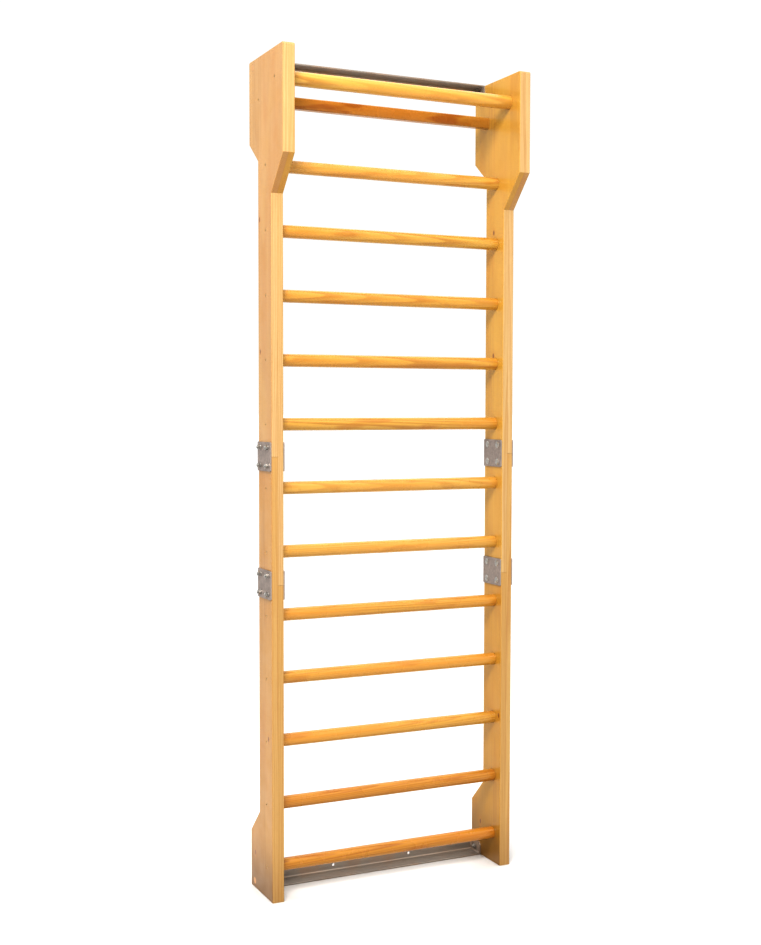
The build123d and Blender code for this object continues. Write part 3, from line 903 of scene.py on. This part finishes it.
def plug_tree():
    """Wooden plug with a bevelled rim, its face level with the board."""
    tree, bench, given = new_tree("Plug", sizes("Plug Diameter", "Thickness", "Rim Bevel"))
    outside = bench.half(given["Plug Diameter"])
    thick, bevel = given["Thickness"], given["Rim Bevel"]
    slim = bench.minus(outside, bevel)
    plug = turned(bench, [
        at_point(0.0, 0.0), at_point(0.0, slim), at_point(bevel, outside),
        along(bench, 3, (bevel, outside), (bench.minus(thick, bevel), outside)),
        at_point(thick, slim), at_point(thick, bench.half(slim)), at_point(thick, 0.0),
    ], sides=40)
    set_in_place(bench, given, plug, 0.0)
    return tree


def wood_screw_tree():
    """Countersunk screw with a cross recess, driven along X from its seat."""
    tree, bench, given = new_tree("Wood screw", sizes(
        "Head Diameter", "Shank Diameter", "Screw Length", "Tip Length", "Thread Pitch",
        "Thread Depth", "Recess Span", "Recess Width", "Recess Depth"))
    head = bench.half(given["Head Diameter"])
    shank = bench.half(given["Shank Diameter"])
    rim = bench.times(head, 0.95)
    lip = bench.minus(head, rim)
    neck = bench.plus(lip, bench.minus(head, shank))
    end = given["Screw Length"]
    thread_to = bench.minus(end, given["Tip Length"])
    core = bench.minus(shank, given["Thread Depth"])
    screw = turned(bench, [
        at_point(0.0, 0.0), at_point(0.0, rim), at_point(lip, head), at_point(neck, shank),
        at_point(bench.times(end, 0.4), shank),
        screw_thread(bench, given, SCREW_THREAD_ROWS, bench.times(end, 0.41), thread_to, shank),
        at_point(thread_to, core), at_point(end, 0.0),
    ], sides=24)
    cut = bench.add("GeometryNodeMeshBoolean", {"Mesh 1": screw}, operation="DIFFERENCE",
                    solver="EXACT")
    deep = bench.times(given["Recess Depth"], 2.0)
    for span, width in (("Recess Width", "Recess Span"), ("Recess Span", "Recess Width")):
        blade = bench.shape("MeshCube", {
            "Size": bench.xyz(deep, given[span], given[width])})
        bench.join(blade, cut.inputs["Mesh 2"])
    clean = bench.shape("MergeByDistance", {
        "Geometry": cut.outputs[0], "Distance": 0.01 * MM})
    set_in_place(bench, given, clean)
    return tree


# ---- operators ----
def settings():
    return bpy.context.scene.wall_bars


def bar_values(count, diameter, length, finish):
    bars = settings().bars
    return {
        "Bar Count": count, "Bar Pitch": RUNG_PITCH, "Bar Length": length,
        "Bar Diameter": diameter, "End Round": bars.end_round, "Unevenness": bars.unevenness,
        "Seed": bars.seed, "Finish": finish,
    }


def axis_of(node):
    low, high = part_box(node)
    return tuple((low + high) / 2)


def bar_wood(name, spring, node, above, behind, **more):
    """Varnished wood of a level bar, its pith line above and behind the axis of its node."""
    look = settings().bars
    axis = axis_of(node)
    return varnished_wood(name, spring, look.rung_summer, look.ring_width, look.gloss, along="X",
                          pith=(above - axis[2], behind - axis[1]), **more)


class WALLBARS_OT_side_boards(Operator):
    """Varnish the eight boards of the two sides"""

    bl_idname = "wall_bars.side_boards"
    bl_label = "Side boards"

    def execute(self, context):
        look = settings().boards
        for s, side in enumerate(SIDES):
            for h, half in enumerate(HALVES):
                for k, layer in enumerate(LAYERS, 4 * s + 2 * h):
                    lean = (0.5 - 0.22 * (k % 3), 0.35 * (-1) ** k, 0.0)
                    away = 0.30 + 0.017 * k
                    pith = (away if side == "left" else -away, -0.05 + 0.021 * (k % 4))
                    spring, edge = look.outer_colour, look.edge_colour_and_highlight
                    if layer == "inner":
                        spring, edge = look.inner_colour, shade(edge, 0.94, 0.93, 0.97)
                    paints = spring, look.summer_colour, edge
                    # Painted shade on the lower boards.
                    if half == "lower":
                        paints = [shade(paint, *look.lower_painted_shade) for paint in paints]
                    wood = varnished_wood(
                        f"{side}_{layer}_{half}_pine", *paints[:2], look.ring_width, look.gloss,
                        along="Z", pith=pith, drift=lean, contrast=0.6,
                        board=(paints[2], look.knot_colour))
                    paint_node(f"{side}_{layer}_{half}_board", wood)
        return {"FINISHED"}


class WALLBARS_OT_rungs(Operator):
    """Turn the twelve rungs"""

    bl_idname = "wall_bars.rungs"
    bl_label = "Rungs"

    def execute(self, context):
        look = settings().bars
        wood = bar_wood("rung_hardwood", look.rung_colour, RUNGS[0], 0.018, -0.055,
                        drift=(1.5, 1.0, 0.0), contrast=0.95, numbered=True, flame=0.55)
        make_piece("rungs", turned_bar_tree(), [axis_of(RUNGS[0])],
                   bar_values(len(RUNGS), look.rung_diameter, RUNG_SIZE.x, wood),
                   RUNGS, sharp=50)
        return {"FINISHED"}


class WALLBARS_OT_pull_up_bar(Operator):
    """Turn the front bar and varnish the slat behind it"""

    bl_idname = "wall_bars.pull_up_bar"
    bl_label = "Pull-up bar and rear slat"

    def execute(self, context):
        look = settings().bars
        node = "front_pull_up_bar"
        wood = bar_wood("pull_up_bar_hardwood", look.pull_up_colour, node, -0.02, -0.06,
                        drift=(1.2, -0.8, 0.0), contrast=0.7, flame=0.25)
        make_piece("pull_up_bar", turned_bar_tree(), [axis_of(node)],
                   bar_values(1, look.pull_up_diameter, PULL_UP_SIZE.x, wood),
                   [node], sharp=50)
        node = "rear_slat"
        paint_node(node, bar_wood("rear_slat_hardwood", look.slat_colour, node, 0.015, -0.05,
                                  drift=(0.9, 1.3, 0.0), contrast=0.9, flame=0.9))
        return {"FINISHED"}


class WALLBARS_OT_splice_plates(Operator):
    """Galvanise the eight splice plates"""

    bl_idname = "wall_bars.splice_plates"
    bl_label = "Splice plates"

    def execute(self, context):
        zinc = zinc_sheet("splice_plate_zinc", settings().steel.plate_colour)
        for side in SIDES:
            for half in HALVES:
                for face in LAYERS:
                    paint_node(f"{side}_{half}_splice_plate_{face}", zinc)
        return {"FINISHED"}


def hang(side, piece, tree, group, values, seed, finish, *, outward=True,
         from_outside=False, offset=0.0):
    """Put one kind of hardware on the seats of its CAD group, turned to its side."""
    group = f"{side}_{group}"
    points_left = (side == "left") == outward
    values = {"Side Turn": math.pi if points_left else 0.0, "Seed": seed, "Finish": finish,
              **values}
    make_piece(f"{side}_{piece}", tree, seats(group, from_outside, offset), values, [group])


def shank_values(bolt_length, head_height):
    size = settings().hardware
    return {
        "Head Height": head_height, "Shank Diameter": size.bolt_diameter,
        "Shank Length": bolt_length - head_height, "Thread Length": size.threaded_length,
        "Thread Pitch": size.thread_pitch, "Thread Depth": size.thread_depth,
    }


def hang_nuts_and_washers(side, piece, group, trees, seed, finish):
    size = settings().hardware
    nut, washer = trees
    hang(side, f"{piece}_nuts", nut, f"{group}_nuts", {
        "Across Flats": size.across_flats, "Nut Height": size.nut_height,
        "Bore Diameter": size.bolt_diameter + NUT_PLAY}, seed, finish)
    hang(side, f"{piece}_washers", washer, f"{group}_washers", {
        "Washer Diameter": size.washer_diameter, "Thickness": size.washer_thickness,
        "Bore Diameter": size.bolt_diameter + WASHER_PLAY}, seed, finish)


class WALLBARS_OT_splice_bolts(Operator):
    """Bolt the splice plates with coach bolts, washers and nuts"""

    bl_idname = "wall_bars.splice_bolts"
    bl_label = "Splice bolts"

    def execute(self, context):
        size = settings().hardware
        zinc = plated_steel("bright_zinc", settings().steel.bolt_colour, 0.32)
        bolt, ends = coach_bolt_tree(), (nut_tree(), washer_tree())
        for side in SIDES:
            hang(side, "coach_bolts", bolt, "splice_bolts", {
                **shank_values(COACH_BOLT_SIZE.x, size.coach_head_height),
                "Head Diameter": COACH_BOLT_SIZE.z, "Rim Height": size.coach_head_rim,
                "Neck Length": size.neck_length,
            }, size.seed, zinc, offset=size.coach_head_height)
            hang_nuts_and_washers(side, "coach_bolt", "splice", ends, size.seed, zinc)
        return {"FINISHED"}


class WALLBARS_OT_rails(Operator):
    """Finish the two angle rails and their end tabs"""

    bl_idname = "wall_bars.rails"
    bl_label = "Steel rails"

    def execute(self, context):
        steel = rolled_steel("rail_mill_scale", settings().steel.rail_colour)
        for level in ("top", "bottom"):
            paint_node(f"{level}_rail", steel)
            for side in SIDES:
                paint_node(f"{side}_{level}_rail_tab", steel)
        return {"FINISHED"}


class WALLBARS_OT_rail_bolts(Operator):
    """Bolt the rails to the sides and plug the holes"""

    bl_idname = "wall_bars.rail_bolts"
    bl_label = "Rail bolts and plugs"

    def execute(self, context):
        steel, look, size = settings().steel, settings().boards, settings().hardware
        zinc = plated_steel("rail_bolt_zinc", steel.bolt_colour, 0.26)
        pine = varnished_wood(
            "plug_pine", steel.plug_colour, look.summer_colour, look.ring_width / 2, look.gloss,
            along="Z", pith=(0.21, 0.04), drift=(8.0, 3.0, 0.0), contrast=0.8)
        bolt, ends, plug = hexagon_bolt_tree(), (nut_tree(), washer_tree()), plug_tree()
        seed = size.seed + 5
        for side in SIDES:
            hang(side, "rail_hexagon_bolts", bolt, "rail_bolts", {
                **shank_values(RAIL_BOLT_SIZE.x, size.hex_head_height),
                "Across Flats": size.across_flats,
            }, seed, zinc, outward=False, from_outside=True, offset=size.hex_head_height)
            hang_nuts_and_washers(side, "rail_bolt", "rail", ends, seed, zinc)
            hang(side, "plugs", plug, "rail_bolt_plugs", {
                "Plug Diameter": size.plug_diameter, "Thickness": size.plug_thickness,
                "Rim Bevel": 0.4 * MM,
            }, seed, pine)
        return {"FINISHED"}


class WALLBARS_OT_bar_screws(Operator):
    """Drive the countersunk screws that hold the bars"""

    bl_idname = "wall_bars.bar_screws"
    bl_label = "Bar screws"

    def execute(self, context):
        size = settings().hardware
        zinc = plated_steel("yellow_zinc", settings().steel.screw_colour, 0.34)
        tree = wood_screw_tree()
        for side in SIDES:
            hang(side, "wood_screws", tree, "bar_screws", {
                "Head Diameter": size.screw_head_diameter, "Shank Diameter": size.screw_diameter,
                "Screw Length": size.screw_length, "Tip Length": 5 * MM,
                "Thread Pitch": 2.2 * MM, "Thread Depth": 0.8 * MM, "Recess Span": 4.8 * MM,
                "Recess Width": 1.0 * MM, "Recess Depth": 1.6 * MM,
            }, size.seed + 11, zinc, outward=False, from_outside=True)
        return {"FINISHED"}


class WALLBARS_OT_stage(Operator):
    """Lay the pale floor, hang the soft light and place the camera"""

    bl_idname = "wall_bars.stage"
    bl_label = "Stage"

    def execute(self, context):
        scene, stage = context.scene, settings().stage
        half = stage.floor_size / 2
        mesh = bpy.data.meshes.new("floor")
        mesh.from_pydata([(-half, -half, 0), (half, -half, 0), (half, half, 0), (-half, half, 0)],
                         [], [(0, 1, 2, 3)])
        floor = new_object("floor", mesh)
        floor.location.z = -0.5 * MM
        material, bench, shader, place = new_material("pale_floor")
        cloud = bench.noise(place["Object"], 1.5)
        colour = bench.tint(cloud, stage.floor_colour, shade(stage.floor_colour, 0.985))
        bench.join(colour, shader.inputs["Base Color"])
        shader.inputs["Roughness"].default_value = 0.75
        mesh.materials.append(material)

        scene.world = bpy.data.worlds.new("soft_room")
        scene.world.use_nodes = True
        room = Bench(scene.world.node_tree)
        backdrop = scene.world.node_tree.nodes["Background"]
        backdrop.inputs["Color"].default_value = (1, 1, 1, 1)
        height = room.split(room.add("ShaderNodeTexCoord").outputs["Generated"])[2]
        room.join(room.step(height, 0.34, 0.75, stage.sky_strength, stage.overhead_strength),
                  backdrop.inputs["Strength"])

        lamp = bpy.data.lights.new("soft_key", "AREA")
        lamp.shape = "SQUARE"
        lamp.size = stage.key_size
        lamp.energy = stage.key_power
        lamp.color = (1.0, 0.975, 0.94)
        key = new_object("soft_key", lamp)
        key.location = stage.key_place
        aim = Vector((0, 0, 1.35)) - Vector(stage.key_place)
        key.rotation_euler = aim.to_track_quat("-Z", "Y").to_euler()

        lens = bpy.data.cameras.new("camera")
        lens.sensor_fit = "HORIZONTAL"
        lens.sensor_width = SENSOR_WIDTH
        lens.lens = stage.camera_lens
        lens.clip_end = 200.0
        scene.camera = new_object("camera", lens)
        scene.camera.matrix_world = camera_pose(stage)
        scene.view_settings.view_transform = "Standard"
        scene.view_settings.look = "None"
        scene.view_settings.gamma = stage.print_gamma
        return {"FINISHED"}


def camera_pose(stage):
    """Camera turned by its yaw, pitch and roll."""
    yaw, pitch, roll = stage.camera_yaw, stage.camera_pitch, stage.camera_roll
    ahead = Vector((math.sin(yaw) * math.cos(pitch), math.cos(yaw) * math.cos(pitch),
                    math.sin(pitch)))
    right = Vector((math.cos(yaw), -math.sin(yaw), 0))
    up = right.cross(ahead)
    leaned = right * math.cos(roll) + up * math.sin(roll)
    up = up * math.cos(roll) - right * math.sin(roll)
    turn = Matrix((leaned, up, -ahead)).transposed().to_4x4()
    return Matrix.Translation(Vector(stage.camera_place)) @ turn


class WALLBARS_PT_panel(Panel):
    """Wall bars"""

    bl_idname = "WALLBARS_PT_panel"
    bl_label = "Wall Bars"
    bl_space_type = "VIEW_3D"
    bl_region_type = "UI"
    bl_category = "Wall Bars"

    def draw(self, context):
        for operator in OPERATORS:
            self.layout.operator(operator.bl_idname)
        groups = context.scene.wall_bars
        for group in (groups.boards, groups.bars, groups.hardware, groups.steel, groups.stage):
            box = self.layout.box()
            for key in group.__annotations__:
                box.prop(group, key)


GROUPS = (
    WallBarsBoardFinish, WallBarsBarFinish, WallBarsHardware, WallBarsSteelFinish, WallBarsStage,
    WallBarsSettings,
)
OPERATORS = (
    WALLBARS_OT_stage, WALLBARS_OT_side_boards, WALLBARS_OT_rungs, WALLBARS_OT_pull_up_bar,
    WALLBARS_OT_splice_plates, WALLBARS_OT_splice_bolts, WALLBARS_OT_rails,
    WALLBARS_OT_rail_bolts, WALLBARS_OT_bar_screws,
)


def register():
    for cls in (*GROUPS, *OPERATORS, WALLBARS_PT_panel):
        bpy.utils.register_class(cls)
    bpy.types.Scene.wall_bars = PointerProperty(type=WallBarsSettings)


def unregister():
    del bpy.types.Scene.wall_bars
    for cls in reversed((*GROUPS, *OPERATORS, WALLBARS_PT_panel)):
        bpy.utils.unregister_class(cls)


def main():
    register()
    for operator in OPERATORS:
        category, name = operator.bl_idname.split(".")
        getattr(getattr(bpy.ops, category), name)()


if __name__ == "__main__":
    main()
